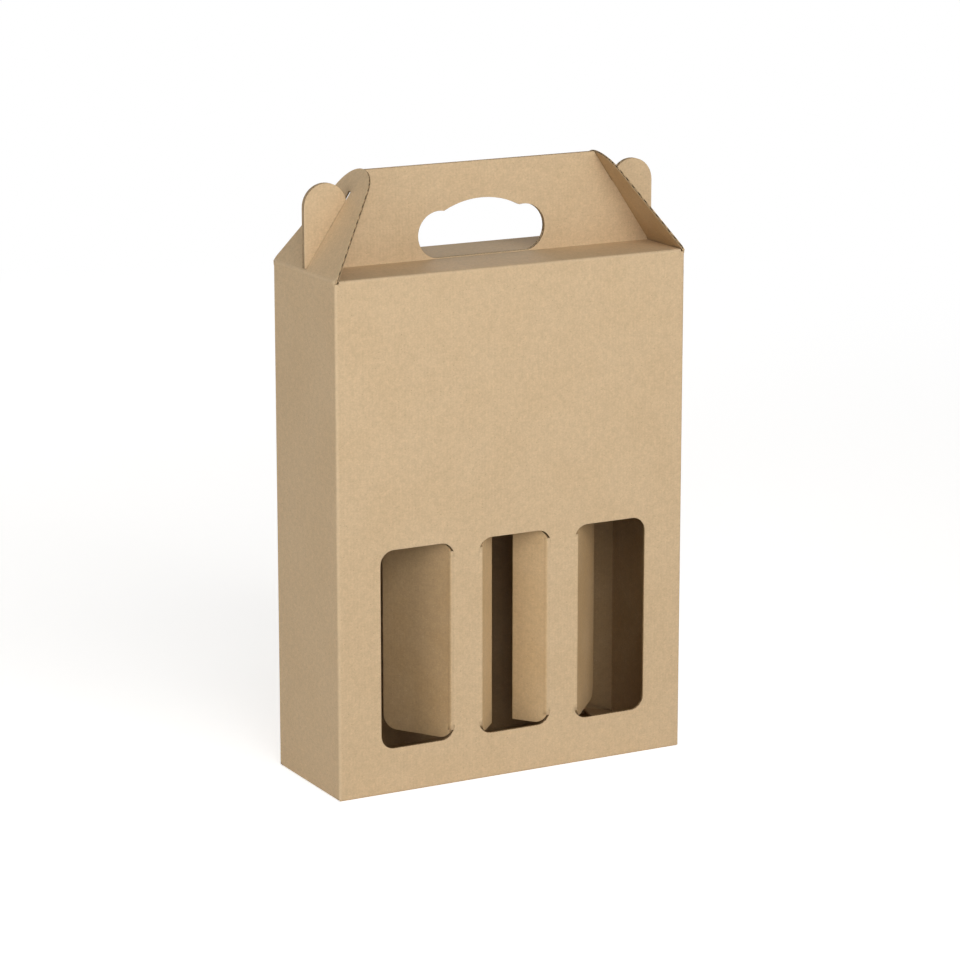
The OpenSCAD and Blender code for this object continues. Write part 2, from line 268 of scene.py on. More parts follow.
@dataclass(frozen=True)
class KraftLiner:
    """The paper that faces the board: kraft brown, mottled, flecked and faintly ribbed."""

    outer: Colour = (0.600, 0.438, 0.262)
    # The inner liner: a browner kraft, darkened further as painted shade for the box's dark inside
    inner: Colour = (0.405, 0.264, 0.128)
    fleck: Colour = (0.200, 0.120, 0.058)
    pale: Colour = (0.720, 0.555, 0.365)
    flute_pitch: float = FLUTE_PITCH
    rib_height: float = 0.012 * MM
    rib_shade: float = 0.010
    facing_side: float = 0.15
    cloud_noise: Noise = (24.0, 3.0, 0.5)
    cloud: Ramp = (0.30, 0.70, 0.0, 0.14)
    mottle_noise: Noise = (260.0, 4.0, 0.62)
    mottle: Ramp = (0.30, 0.72, 0.945, 1.04)
    grain_noise: Noise = (760.0, 3.0, 0.7)
    grain: Ramp = (0.28, 0.74, 0.93, 1.06)
    grain_height: float = 0.02 * MM
    fibre_noise: Noise = (420.0, 2.0, 0.6)
    fibre_stretch: float = 1900.0 / 420.0
    fibre: Ramp = (0.30, 0.72, 0.965, 1.035)
    fibre_height: float = 0.012 * MM
    fleck_stretch: float = 2.2
    fleck_scale: float = 430.0
    fleck_share: float = 0.14
    fleck_core: float = 0.35
    dark_size: float = 0.20
    dark_cover: float = 0.6
    light_scale: float = 1.7
    light_size: float = 0.26
    light_cover: float = 0.45
    # How strongly the painted highlight along the outer folds shows
    fold_highlight_strength: float = 0.30
    fold_edge: tuple[float, float, float] = (127.5 * MM, 45.0 * MM, 340.0 * MM)
    fold_reach: float = 2.2 * MM
    roughness: tuple[float, float] = (0.66, 0.80)
    rough_mottle: tuple[float, float] = (0.2, 0.8)
    specular: float = 0.32
    relief: float = 0.8

    def across(self, graph: Graph, place: bpy.types.NodeSocket, normal: bpy.types.NodeSocket,
               run: FluteRun, direction: Vector) -> bpy.types.NodeSocket:
        """Gives the distance across the flutes.

        Args:
            graph: The material's graph.
            place: The surface point in the object's own frame.
            normal: The surface normal in that frame.
            run: How the body's flutes are counted.
            direction: The way across the flutes of a turned flap.

        Returns:
            A socket with the distance in metres.
        """
        if run is FluteRun.ALONG_FLAP:
            return graph.vector_math("DOT_PRODUCT", place, tuple(direction)).outputs["Value"]
        point = graph.split(place)
        if run is FluteRun.ALONG_DEPTH:
            return point["Y"]
        sideways = graph.math("ABSOLUTE", graph.split(normal)["X"])
        side = graph.math("GREATER_THAN", sideways, self.facing_side)
        along_y = graph.math("MULTIPLY", point["Y"], side)
        along_x = graph.math("MULTIPLY", point["X"], graph.math("SUBTRACT", 1.0, side))
        return graph.math("ADD", along_x, along_y)

    def side(self, graph: Graph, place: bpy.types.NodeSocket, normal: bpy.types.NodeSocket,
             outward: Optional[Vector]) -> bpy.types.NodeSocket:
        """Tells the outer liner from the inner one.

        Args:
            graph: The material's graph.
            place: The surface point in the object's own frame.
            normal: The surface normal in that frame.
            outward: The outer liner's normal on a turned flap, or None on the body.

        Returns:
            A socket that is 1 on the outer liner and 0 on the inner one.
        """
        if outward is None:
            arm = graph.vector_math("SUBTRACT", place, tuple(BOX_CENTRE)).outputs["Vector"]
            facing = graph.vector_math("DOT_PRODUCT", arm, normal).outputs["Value"]
        else:
            facing = graph.vector_math("DOT_PRODUCT", normal, tuple(outward)).outputs["Value"]
        return graph.math("GREATER_THAN", facing, 0.0)

    def fold_highlight(self, graph: Graph, place: bpy.types.NodeSocket) -> bpy.types.NodeSocket:
        """Gives the share of painted highlight, as paler paper, along the carton's outer folds.

        Args:
            graph: The material's graph.
            place: The surface point in the object's own frame.

        Returns:
            A socket from 0 to the set highlight strength.
        """
        reach = graph.split(graph.vector_math("ABSOLUTE", place).outputs["Vector"])
        near = [graph.ramp(reach[axis], edge - self.fold_reach, edge)
                for axis, edge in zip("XYZ", self.fold_edge)]
        upright = graph.math("MULTIPLY", near[0], near[1])
        roof = graph.math("MULTIPLY", near[2], graph.math("MAXIMUM", near[0], near[1]))
        return graph.math("MULTIPLY", graph.math("MAXIMUM", upright, roof), self.fold_highlight_strength)

    def flecks(self, graph: Graph, place: bpy.types.NodeSocket, scale: float,
               size: float) -> bpy.types.NodeSocket:
        """Scatters small flecks.

        Args:
            graph: The material's graph.
            place: The point, stretched along the paper's grain.
            scale: Cells per metre.
            size: A fleck's radius in cells.

        Returns:
            A socket that is 1 on a fleck.
        """
        cells = graph.add("ShaderNodeTexVoronoi", feature="F1")
        graph.join(place, cells.inputs["Vector"])
        cells.inputs["Scale"].default_value = scale
        cells.inputs["Randomness"].default_value = 1.0
        chosen = graph.add("ShaderNodeSeparateColor")
        graph.join(cells.outputs["Color"], chosen.inputs[0])
        holds = graph.math("LESS_THAN", chosen.outputs[0], self.fleck_share)
        core = graph.ramp(cells.outputs["Distance"], size, self.fleck_core * size)
        return graph.math("MULTIPLY", core, holds)

    def fleck_over(self, graph: Graph, place: bpy.types.NodeSocket,
                   base: bpy.types.NodeSocket) -> bpy.types.NodeSocket:
        """Lays dark and light flecks over the paper's colour.

        Args:
            graph: The material's graph.
            place: The surface point in the object's own frame.
            base: The paper's colour.

        Returns:
            The flecked colour.
        """
        short = graph.stretch(place, self.fleck_stretch)
        dark = self.flecks(graph, short, self.fleck_scale, self.dark_size)
        dark = graph.math("MULTIPLY", dark, self.dark_cover)
        base = graph.blend(dark, base, rgba(self.fleck))
        light = self.flecks(graph, place, self.light_scale * self.fleck_scale, self.light_size)
        light = graph.math("MULTIPLY", light, self.light_cover)
        return graph.blend(light, base, rgba(self.pale))

    def build(self, name: str, run: FluteRun = FluteRun.BY_WALL,
              direction: Vector = Vector((1.0, 0.0, 0.0)), outward: Optional[Vector] = None,
              painted_shade: Colour = WHITE) -> bpy.types.Material:
        """Makes the liner's material for one body.

        Args:
            name: The material's name.
            run: How the body's flutes are counted.
            direction: The way across the flutes of a turned flap.
            outward: The outer liner's normal on a turned flap, or None on the body.
            painted_shade: The painted shade that the outer liner's colour is multiplied by, away
                from a crease's panel side.

        Returns:
            The material.
        """
        material, graph, shader = new_material(name)
        where = graph.add("ShaderNodeTexCoord")
        place, normal = where.outputs["Object"], where.outputs["Normal"]
        mottle = graph.noise(place, *self.mottle_noise)
        grain = graph.noise(place, *self.grain_noise)
        fibre = graph.noise(graph.stretch(place, self.fibre_stretch), *self.fibre_noise)
        across = self.across(graph, place, normal, run, direction)
        turn = graph.math("MULTIPLY", across, 2.0 * math.pi / self.flute_pitch)
        rib = graph.math("SINE", turn)

        # The outer liner's colour under the flap's painted shade, which fades out towards a
        # crease's panel side
        face = tuple(colour * share for colour, share in zip(self.outer, painted_shade))
        bend = graph.add("ShaderNodeAttribute", attribute_name=PANEL_SHARE)
        facing = graph.blend(bend.outputs["Fac"], rgba(face), rgba(self.outer))
        outer = self.side(graph, place, normal, outward)
        # The inner liner's colour, which carries painted shade for the box's inside
        base = graph.blend(outer, rgba(self.inner), facing)
        cloud = graph.ramp(graph.noise(place, *self.cloud_noise), *self.cloud)
        base = graph.blend(cloud, base, rgba(self.pale))
        shade = graph.ramp(mottle, *self.mottle)
        shade = graph.math("MULTIPLY", shade, graph.ramp(grain, *self.grain))
        shade = graph.math("MULTIPLY", shade, graph.ramp(fibre, *self.fibre))
        ribbed = graph.math("MULTIPLY_ADD", rib, self.rib_shade, 1.0)
        shade = graph.math("MULTIPLY", shade, ribbed)
        tint = graph.add("ShaderNodeCombineColor")
        for channel in tint.inputs:
            graph.join(shade, channel)
        base = graph.blend(1.0, base, tint.outputs[0], "MULTIPLY")
        # Painted highlight: paler paper along the carton's outer folds
        base = graph.blend(self.fold_highlight(graph, place), base, rgba(self.pale))
        graph.join(self.fleck_over(graph, place, base), shader.inputs["Base Color"])

        rough = graph.ramp(mottle, *self.rough_mottle, *self.roughness)
        graph.join(rough, shader.inputs["Roughness"])
        shader.inputs["Specular IOR Level"].default_value = self.specular
        relief = graph.math("MULTIPLY", rib, self.rib_height)
        relief = graph.math("MULTIPLY_ADD", grain, self.grain_height, relief)
        relief = graph.math("MULTIPLY_ADD", fibre, self.fibre_height, relief)
        graph.emboss(relief, self.relief, 1.0, shader)
        return material


@dataclass(frozen=True)
class FlutedMedium:
    """The wavy paper between the liners, rougher than they are, and a dark copy of it as painted
    shade in its hollows.
    """

    light: Colour = (0.560, 0.390, 0.220)
    dark: Colour = (0.330, 0.215, 0.110)
    grain_noise: Noise = (900.0, 3.0, 0.65)
    contrast: tuple[float, float] = (0.3, 0.7)
    roughness: float = 0.9
    specular: float = 0.15
    relief: float = 0.5
    relief_height: float = 0.05 * MM

    def build(self, name: str, shade: float) -> bpy.types.Material:
        """Makes the medium's material.

        Args:
            name: The material's name.
            shade: What its colours are multiplied by; a low value gives the painted shade of the
                flutes' hollows.

        Returns:
            The material.
        """
        material, graph, shader = new_material(name)
        where = graph.add("ShaderNodeTexCoord")
        grain = graph.noise(where.outputs["Object"], *self.grain_noise)
        light = tuple(shade * colour for colour in self.light)
        dark = tuple(shade * colour for colour in self.dark)
        share = graph.ramp(grain, *self.contrast)
        graph.join(graph.blend(share, rgba(dark), rgba(light)), shader.inputs["Base Color"])
        shader.inputs["Roughness"].default_value = self.roughness
        shader.inputs["Specular IOR Level"].default_value = self.specular
        graph.emboss(grain, self.relief, self.relief_height, shader)
        return material


# Cut edges


@dataclass
class CutLine:
    """One run of a cut edge, along the middle of the board's thickness."""

    points: list[Vector] = field(default_factory=list)
    outs: list[Vector] = field(default_factory=list)
    normals: list[Vector] = field(default_factory=list)
    closed: bool = False

    def length(self) -> float:
        """Returns the run's length in metres."""
        return sum((b - a).length for a, b in zip(self.points, self.points[1:]))


@dataclass
class CutFinder:
    """Finds the cut edges of a CAD node: narrow faces as wide as the board is thick."""

    board: float = BOARD
    tolerance: float = 0.06 * MM
    merge: float = 0.001 * MM
    grid: float = 0.01 * MM
    square: float = 0.12
    parallel: float = 0.99
    flat: float = 0.99999
    onward: float = 0.8
    crease_reach: float = 1.3 * MM
    crease_clear: float = 1.1 * MM
    shortest: float = 2.0 * MM
    corner_reach: float = 1.4
    corner_least: float = 0.6

    @staticmethod
    def creases() -> list[Pair]:
        """Returns each moving crease's pivot and axis."""
        return [(Vector(joint["pos_m"]), Vector(joint["axis"]).normalized())
                for joint in frame["joints"]]

    @staticmethod
    def off_axis(point: Vector, pivot: Vector, axis: Vector) -> float:
        """Returns how far a point lies from an axis."""
        arm = point - pivot
        return (arm - arm.dot(axis) * axis).length

    def from_crease(self, point: Vector) -> float:
        """Returns how far a point lies from the nearest moving crease's axis."""
        return min(self.off_axis(point, pivot, axis) for pivot, axis in self.creases())

    def draw_back(self, points: list[Vector], faces: list[Pair]) -> None:
        """Draws an open line's ends back from the moving creases, so that a flap swings clear.

        Args:
            points: The line's points, changed in place.
            faces: The board normal and way out of each run, changed in place.
        """
        for _ in range(2):
            while len(points) > 2 and self.from_crease(points[1]) < self.crease_clear:
                del points[0], faces[0]
            near, far = self.from_crease(points[0]), self.from_crease(points[1])
            if near < self.crease_clear < far:
                points[0] = points[0].lerp(points[1], (self.crease_clear - near) / (far - near))
            points.reverse()
            faces.reverse()

    def near_crease(self, a: Vector, b: Vector) -> bool:
        """Tells whether a run lies along a moving crease, where the board isn't cut.

        Args:
            a: One end of the run.
            b: Its other end.

        Returns:
            True along a crease.
        """
        way = (b - a).normalized()
        return any(abs(way.dot(axis)) >= self.parallel
                   and self.off_axis((a + b) / 2.0, pivot, axis) < self.crease_reach
                   for pivot, axis in self.creases())

    def flat_areas(self, mesh: bmesh.types.BMesh) -> dict[int, float]:
        """Gives each face the area of the whole flat stretch that it belongs to.

        Args:
            mesh: The node's merged mesh.

        Returns:
            Areas by face index.
        """
        mesh.faces.index_update()
        areas: dict[int, float] = {}
        for seed in mesh.faces:
            if seed.index in areas:
                continue
            stretch, waiting = {seed.index: seed}, [seed]
            while waiting:
                for edge in waiting.pop().edges:
                    for face in edge.link_faces:
                        if face.index in stretch or face.normal.dot(seed.normal) <= self.flat:
                            continue
                        stretch[face.index] = face
                        waiting.append(face)
            area = sum(face.calc_area() for face in stretch.values())
            areas.update({index: area for index in stretch})
        return areas

    def pairs(self, mesh: bmesh.types.BMesh) -> Iterator[tuple[bmesh.types.BMEdge, Vector, Vector]]:
        """Picks the edges between a board face and a cut face.

        Args:
            mesh: The node's merged mesh.

        Yields:
            Each edge, with the board face's normal and the cut face's.
        """
        areas = self.flat_areas(mesh)
        for edge in mesh.edges:
            if len(edge.link_faces) != 2:
                continue
            for face, other in (edge.link_faces, reversed(edge.link_faces)):
                if areas[face.index] < areas[other.index]:
                    continue
                if abs(face.normal.dot(other.normal)) > self.square:
                    continue
                root = edge.verts[0].co
                depths = [(root - v.co).dot(face.normal) for v in other.verts]
                thin = all(min(abs(d), abs(d - self.board)) < self.tolerance for d in depths)
                if thin and max(depths) > self.board / 2.0:
                    yield edge, face.normal.copy(), other.normal.copy()

    def segments(self, node: bpy.types.Object, outward: Optional[Vector]) -> dict:
        """Collects the cut edges of a node.

        Args:
            node: The CAD node.
            outward: The outer liner's normal on a flap, or None on the body.

        Returns:
            Runs by their two end points, each with its ends, board normal and way out.
        """
        mesh = bmesh.new()
        mesh.from_mesh(node.data)
        bmesh.ops.remove_doubles(mesh, verts=mesh.verts, dist=self.merge)
        mesh.normal_update()
        found: dict = {}
        for edge, normal, out in self.pairs(mesh):
            a, b = (v.co - normal * self.board / 2.0 for v in edge.verts)
            if self.near_crease(a, b):
                continue
            guide = outward if outward is not None else (a + b) / 2.0 - BOX_CENTRE
            if normal.dot(guide) < 0.0:
                normal = -normal
            ends = tuple(tuple(round(c / self.grid) for c in p) for p in (a, b))
            found.setdefault(frozenset(ends), (ends, (a, b), normal, out))
        mesh.free()
        return found

    def chains(self, found: dict) -> list[CutLine]:
        """Strings the collected runs into lines.

        Args:
            found: The runs from segments.

        Returns:
            The lines that are long enough to dress.
        """
        at: dict = {}
        for key, (ends, _, _, _) in found.items():
            for end in ends:
                at.setdefault(end, []).append(key)
        places = {end: place for ends, pair, _, _ in found.values()
                  for end, place in zip(ends, pair)}
        loose, lines = set(found), []
        starts = [end for end, keys in at.items() if len(keys) != 2] + list(at)
        for start in starts:
            while any(key in loose for key in at[start]):
                stops, faces = self.follow(start, at, found, loose)
                if not faces:
                    break
                points, closed = [places[stop].copy() for stop in stops], stops[-1] == start
                if not closed:
                    self.draw_back(points, faces)
                lines.append(self.line(points, faces, closed))
        return [line for line in lines if line.length() > self.shortest]

    def follow(self, start: tuple, at: dict, found: dict, loose: set) -> tuple[list, list[Pair]]:
        """Follows loose runs from a point until they fork, turn onto another face or close.

        Args:
            start: The point's key.
            at: The runs' keys by the points that they meet.
            found: The runs from segments.
            loose: The keys of the runs that no line has yet, changed in place.

        Returns:
            The keys of the line's points, and each run's board normal and way out.
        """
        stops, faces = [start], []
        while True:
            end = stops[-1]
            step = next((key for key in at[end] if key in loose and (
                not faces or found[key][2].dot(faces[-1][0]) > self.onward)), None)
            if step is None:
                return stops, faces
            loose.discard(step)
            ends, _, normal, out = found[step]
            stops.append(ends[1] if ends[0] == end else ends[0])
            faces.append((normal, out))
            if stops[-1] == start or len(at[stops[-1]]) != 2:
                return stops, faces

    def line(self, points: list[Vector], faces: list[Pair], closed: bool) -> CutLine:
        """Averages the directions of a line's runs at its points.

        Args:
            points: The line's points.
            faces: The board normal and way out of each run.
            closed: Whether the line comes back to its start.

        Returns:
            The finished line.
        """
        result = CutLine(closed=closed)
        count = len(points) - 1 if closed else len(points)
        for index in range(count):
            before = faces[index - 1] if index or closed else faces[0]
            after = faces[index] if index < len(faces) else faces[-1]
            result.points.append(points[index])
            result.normals.append((before[0] + after[0]).normalized())
            out = before[1] + after[1]
            mitre = min(self.corner_reach, 2.0 / max(out.length, self.corner_least))
            result.outs.append(out.normalized() * mitre)
        return result


class FluteTree:
    """The Geometry Nodes tree that lays two liner lips and the wavy medium along cut lines."""

    MEDIUM_OUT = 0.3
    HOLLOW_OUT = -0.35
    INPUTS = (
        ("Board", "NodeSocketFloat", BOARD),
        ("Liner", "NodeSocketFloat", 0.26 * MM),
        ("Medium", "NodeSocketFloat", 0.42 * MM),
        ("Crush", "NodeSocketFloat", 0.75),
        ("Pitch", "NodeSocketFloat", FLUTE_PITCH),
        ("Proud", "NodeSocketFloat", LIP_PROUD),
        ("Root", "NodeSocketFloat", 0.05 * MM),
        ("Step", "NodeSocketFloat", 0.3 * MM),
        ("Liner Finish", "NodeSocketMaterial", None),
        ("Medium Finish", "NodeSocketMaterial", None),
        ("Hollow Painted Shade", "NodeSocketMaterial", None),
    )

    def __init__(self) -> None:
        """Builds the tree."""
        self.group = bpy.data.node_groups.new("flute_edge", "GeometryNodeTree")
        face = self.group.interface
        face.new_socket(name="Geometry", in_out="INPUT", socket_type="NodeSocketGeometry")
        for name, kind, value in self.INPUTS:
            item = face.new_socket(name=name, in_out="INPUT", socket_type=kind)
            if value is not None:
                item.default_value = value
        face.new_socket(name="Geometry", in_out="OUTPUT", socket_type="NodeSocketGeometry")
        self.graph = Graph(self.group)
        self.given = self.graph.add("NodeGroupInput").outputs
        self.build()

    def attribute(self, name: str, kind: str) -> bpy.types.NodeSocket:
        """Reads a named attribute of the cut lines.

        Args:
            name: The attribute's name.
            kind: Its data type.

        Returns:
            The attribute's socket.
        """
        node = self.graph.add("GeometryNodeInputNamedAttribute", data_type=kind)
        node.inputs["Name"].default_value = name
        return node.outputs["Attribute"]

    def scaled(self, vector: object, factor: object) -> bpy.types.NodeSocket:
        """Multiplies a vector by a number.

        Args:
            vector: The vector's socket.
            factor: The number or its socket.

        Returns:
            The product's socket.
        """
        node = self.graph.add("ShaderNodeVectorMath", operation="SCALE")
        self.graph.join(vector, node.inputs[0])
        self.graph.join(factor, node.inputs["Scale"])
        return node.outputs[0]

    def sweep(self, curve: object, lift: object, out: object, thick: object, deep: object,
              finish: str, scale: object = 1.0) -> bpy.types.NodeSocket:
        """Sweeps a bar along a line.

        Args:
            curve: The line's socket.
            lift: How far the bar's middle lies along the board's normal.
            out: How far it lies out of the cut.
            thick: The bar's size along the normal.
            deep: Its size out of the cut.
            finish: The name of the input that holds its material.
            scale: What the bar's section is multiplied by along the line.

        Returns:
            The bar's mesh.
        """
        graph = self.graph
        normal = self.attribute("board_normal", "FLOAT_VECTOR")
        way = self.attribute("way_out", "FLOAT_VECTOR")
        shift = graph.vector_math("ADD", self.scaled(normal, lift), self.scaled(way, out))
        moved = graph.add("GeometryNodeSetPosition")
        graph.join(curve, moved.inputs["Geometry"])
        graph.join(shift.outputs[0], moved.inputs["Offset"])
        turned = graph.add("GeometryNodeSetCurveNormal", mode="FREE")
        graph.join(moved.outputs[0], turned.inputs["Curve"])
        graph.join(normal, turned.inputs["Normal"])
        section = graph.add("GeometryNodeCurvePrimitiveQuadrilateral", mode="RECTANGLE")
        graph.join(thick, section.inputs["Width"])
        graph.join(deep, section.inputs["Height"])
        swept = graph.add("GeometryNodeCurveToMesh")
        graph.join(turned.outputs[0], swept.inputs["Curve"])
        graph.join(section.outputs[0], swept.inputs["Profile Curve"])
        graph.join(scale, swept.inputs["Scale"])
        graph.join(True, swept.inputs["Fill Caps"])
        dressed = graph.add("GeometryNodeSetMaterial")
        graph.join(swept.outputs[0], dressed.inputs["Geometry"])
        graph.join(self.given[finish], dressed.inputs["Material"])
        return dressed.outputs[0]

    def build(self) -> None:
        """Joins the lips, the medium and, behind it, a dark bar of painted shade in the hollow."""
        graph, given = self.graph, self.given
        line = graph.add("GeometryNodeMeshToCurve")
        graph.join(given["Geometry"], line.inputs["Mesh"])
        dense = graph.add("GeometryNodeResampleCurve", mode="LENGTH")
        graph.join(line.outputs[0], dense.inputs["Curve"])
        graph.join(given["Step"], dense.inputs["Length"])
        half = graph.math("MULTIPLY", given["Board"], 0.5)
        lip = graph.math("SUBTRACT", half, graph.math("MULTIPLY", given["Liner"], 0.5))
        deep = graph.math("ADD", given["Proud"], given["Root"])
        middle = graph.math("MULTIPLY", graph.math("SUBTRACT", given["Proud"], given["Root"]), 0.5)
        turn = graph.math("DIVIDE", self.attribute("across", "FLOAT"), given["Pitch"])
        wave = graph.math("SINE", graph.math("MULTIPLY", turn, 2.0 * math.pi))
        swing = graph.math("SUBTRACT", graph.math("SUBTRACT", half, given["Liner"]),
                           graph.math("MULTIPLY", given["Medium"], 0.5))
        room = graph.math("SUBTRACT", given["Board"], given["Liner"])
        crush = graph.math("MULTIPLY_ADD", wave, given["Crush"], 1.0)
        joined = graph.add("GeometryNodeJoinGeometry")
        bars = (
            (line.outputs[0], lip, middle, given["Liner"], deep, "Liner Finish", 1.0),
            (line.outputs[0], graph.math("MULTIPLY", lip, -1.0), middle, given["Liner"], deep,
             "Liner Finish", 1.0),
            (dense.outputs[0], graph.math("MULTIPLY", wave, swing),
             graph.math("MULTIPLY", given["Proud"], self.MEDIUM_OUT), given["Medium"],
             given["Root"], "Medium Finish", crush),
            # A dark bar of painted shade in the flutes' hollow
            (line.outputs[0], 0.0, graph.math("MULTIPLY", given["Root"], self.HOLLOW_OUT), room,
             given["Root"], "Hollow Painted Shade", 1.0),
        )
        for curve, lift, out, thick, depth, finish, scale in bars:
            graph.join(self.sweep(curve, lift, out, thick, depth, finish, scale), joined.inputs[0])
        real = graph.add("GeometryNodeRealizeInstances")
        graph.join(joined.outputs[0], real.inputs[0])
        result = graph.add("NodeGroupOutput")
        graph.join(real.outputs[0], result.inputs[0])

    def socket(self, name: str) -> str:
        """Returns the identifier of a named input."""
        return next(i.identifier for i in self.group.interface.items_tree
                    if i.item_type == "SOCKET" and i.in_out == "INPUT" and i.name == name)


def link(name: str, mesh: bpy.types.Mesh) -> bpy.types.Object:
    """Puts a mesh into the scene.

    Args:
        name: The object's name.
        mesh: Its mesh, in the part's own frame.

    Returns:
        The object, at the origin.
    """
    piece = bpy.data.objects.new(name, mesh)
    bpy.context.scene.collection.objects.link(piece)
    return piece


@dataclass
class EdgeDresser:
    """Turns a body's cut lines into one plain mesh of liner lips and fluted medium."""

    tree: FluteTree
    liner: bpy.types.Material
    medium: bpy.types.Material
    hollow: bpy.types.Material
    finder: CutFinder = field(default_factory=CutFinder)
    lying: float = 0.02

    def across(self, point: Vector, normal: Vector) -> float:
        """Gives the distance across the flutes, which run up the walls and flaps.

        Args:
            point: A point of a cut line.
            normal: The board's normal there.

        Returns:
            The distance in metres, along the width on lying board.
        """
        level = Vector((-normal.y, normal.x, 0.0))
        if level.length < self.lying:
            return point.x
        return point.dot(level.normalized())

    def base(self, name: str, lines: list[CutLine]) -> bpy.types.Object:
        """Makes the bare lines with their attributes.

        Args:
            name: The piece's name.
            lines: The cut lines.

        Returns:
            An object whose mesh holds points and edges only.
        """
        points, edges, normals, outs, across = [], [], [], [], []
        for line in lines:
            first, count = len(points), len(line.points)
            for point, normal, out in zip(line.points, line.normals, line.outs):
                points.append(tuple(point))
                normals.extend(normal)
                outs.extend(out)
                across.append(self.across(point, normal))
            edges += [(first + i, first + i + 1) for i in range(count - 1)]
            if line.closed:
                edges.append((first + count - 1, first))
        mesh = bpy.data.meshes.new(name)
        mesh.from_pydata(points, edges, [])
        for title, kind, key, values in (("board_normal", "FLOAT_VECTOR", "vector", normals),
                                         ("way_out", "FLOAT_VECTOR", "vector", outs),
                                         ("across", "FLOAT", "value", across)):
            mesh.attributes.new(title, kind, "POINT").data.foreach_set(key, values)
        return link(name, mesh)

    def dress(self, name: str, lines: list[CutLine], body: Body,
              proud: float = LIP_PROUD) -> bpy.types.Object:
        """Builds the edge piece of one body.

        Args:
            name: The piece's name.
            lines: The cut lines.
            body: The body that it rides on.
            proud: How far the liners' lips stand out of the cut.

        Returns:
            The finished piece.
        """
        bare = self.base(name + ".lines", lines)
        modifier = bare.modifiers.new("flutes", "NODES")
        modifier.node_group = self.tree.group
        for title, material in (("Liner Finish", self.liner), ("Medium Finish", self.medium),
                                ("Hollow Painted Shade", self.hollow)):
            modifier[self.tree.socket(title)] = material
        modifier[self.tree.socket("Proud")] = proud
        graph = bpy.context.evaluated_depsgraph_get()
        mesh = bpy.data.meshes.new_from_object(bare.evaluated_get(graph))
        bpy.data.objects.remove(bare)
        piece = link(name, mesh)
        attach(piece, body.value)
        LOG.info("%s: %d lines, %d faces", name, len(lines), len(mesh.polygons))
        return piece


# Moving creases


@dataclass
class CreaseSkin:
    """The outer liner where it bends over a moving crease, from the panel to its flap."""

    body: Body
    joint: str
    panel_way: Vector
    panel_out: Vector
    flap_way: Vector
    flap_out: Vector
    half_length: float
    board: float = BOARD
    proud: float = 0.03 * MM
    taper: float = 0.03 * MM
    depth: float = 0.25 * MM
    panel_reach: float = 2.4 * MM
    flap_reach: float = 2.6 * MM
    full_share: float = 0.4
    bend_share: float = 0.6
    turns: int = 10
    rows: int = 24

    def section(self) -> list[Pair]:
        """Draws the skin's outer side across the crease.

        Returns:
            Points about the crease's axis, each with its outward direction.
        """
        radius = self.board / 2.0 + self.proud
        start, end = self.panel_out.normalized(), self.flap_out.normalized()
        whole = start.angle(end)
        sunk = radius - self.proud - self.taper
        path = [(start * sunk + self.panel_way * self.panel_reach, start),
                (start * radius + self.panel_way * self.full_share * self.panel_reach, start)]
        for index in range(self.turns + 1):
            share = index / self.turns
            way = start * math.sin((1.0 - share) * whole) + end * math.sin(share * whole)
            way = way.normalized()
            path.append((way * radius, way))
        path.append((end * radius + self.flap_way * self.full_share * self.flap_reach, end))
        path.append((end * sunk + self.flap_way * self.flap_reach, end))
        return path

    def faces(self, count: int) -> list[tuple[int, int, int, int]]:
        """Closes the skin's two sides into one shell.

        Args:
            count: The points across one side.

        Returns:
            Faces by the rows' points, the outer side's before the inner side's.
        """
        faces, wide = [], 2 * count
        for row in range(self.rows):
            near, far = row * wide, (row + 1) * wide
            for i in range(count - 1):
                under, past = near + count + i, far + count + i
                faces.append((near + i, near + i + 1, far + i + 1, far + i))
                faces.append((under, past, past + 1, under + 1))
            faces.append((near, far, far + count, near + count))
            faces.append((near + count - 1, near + wide - 1, far + wide - 1, far + count - 1))
        for end in (0, self.rows * wide):
            for i in range(count - 1):
                quad = (end + i, end + count + i, end + count + i + 1, end + i + 1)
                faces.append(quad if end == 0 else quad[::-1])
        return faces

    def build(self, finish: bpy.types.Material) -> bpy.types.Object:
        """Makes the skin, bent over the crease as the flap stands at rest.

        Args:
            finish: The liner's material.

        Returns:
            The finished piece.
        """
        joint = next(j for j in frame["joints"] if j["name"] == self.joint)
        pivot, axis = Vector(joint["pos_m"]), Vector(joint["axis"]).normalized()
        path, points = self.section(), []
        for row in range(self.rows + 1):
            along = (2.0 * row / self.rows - 1.0) * self.half_length
            centre = pivot + axis * along
            points += [tuple(centre + spot) for spot, _ in path]
            points += [tuple(centre + spot - way * self.depth) for spot, way in path]
        count, name = len(path), self.body.value + "_crease"
        mesh = bpy.data.meshes.new(name)
        mesh.from_pydata(points, [], self.faces(count))
        loose = bmesh.new()
        loose.from_mesh(mesh)
        bmesh.ops.recalc_face_normals(loose, faces=loose.faces)
        loose.to_mesh(mesh)
        loose.free()
        mesh.polygons.foreach_set("use_smooth", [True] * len(mesh.polygons))
        # The panel share fades the flap's painted shade out across the crease
        shares = [1.0 - i / (count - 1) for i in range(count)] * (2 * (self.rows + 1))
        mesh.attributes.new(PANEL_SHARE, "FLOAT", "POINT").data.foreach_set("value", shares)
        mesh.materials.append(finish)
        piece = link(name, mesh)
        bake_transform(piece)
        LOG.info("%s: %d faces", name, len(mesh.polygons))
        return piece


# The carton


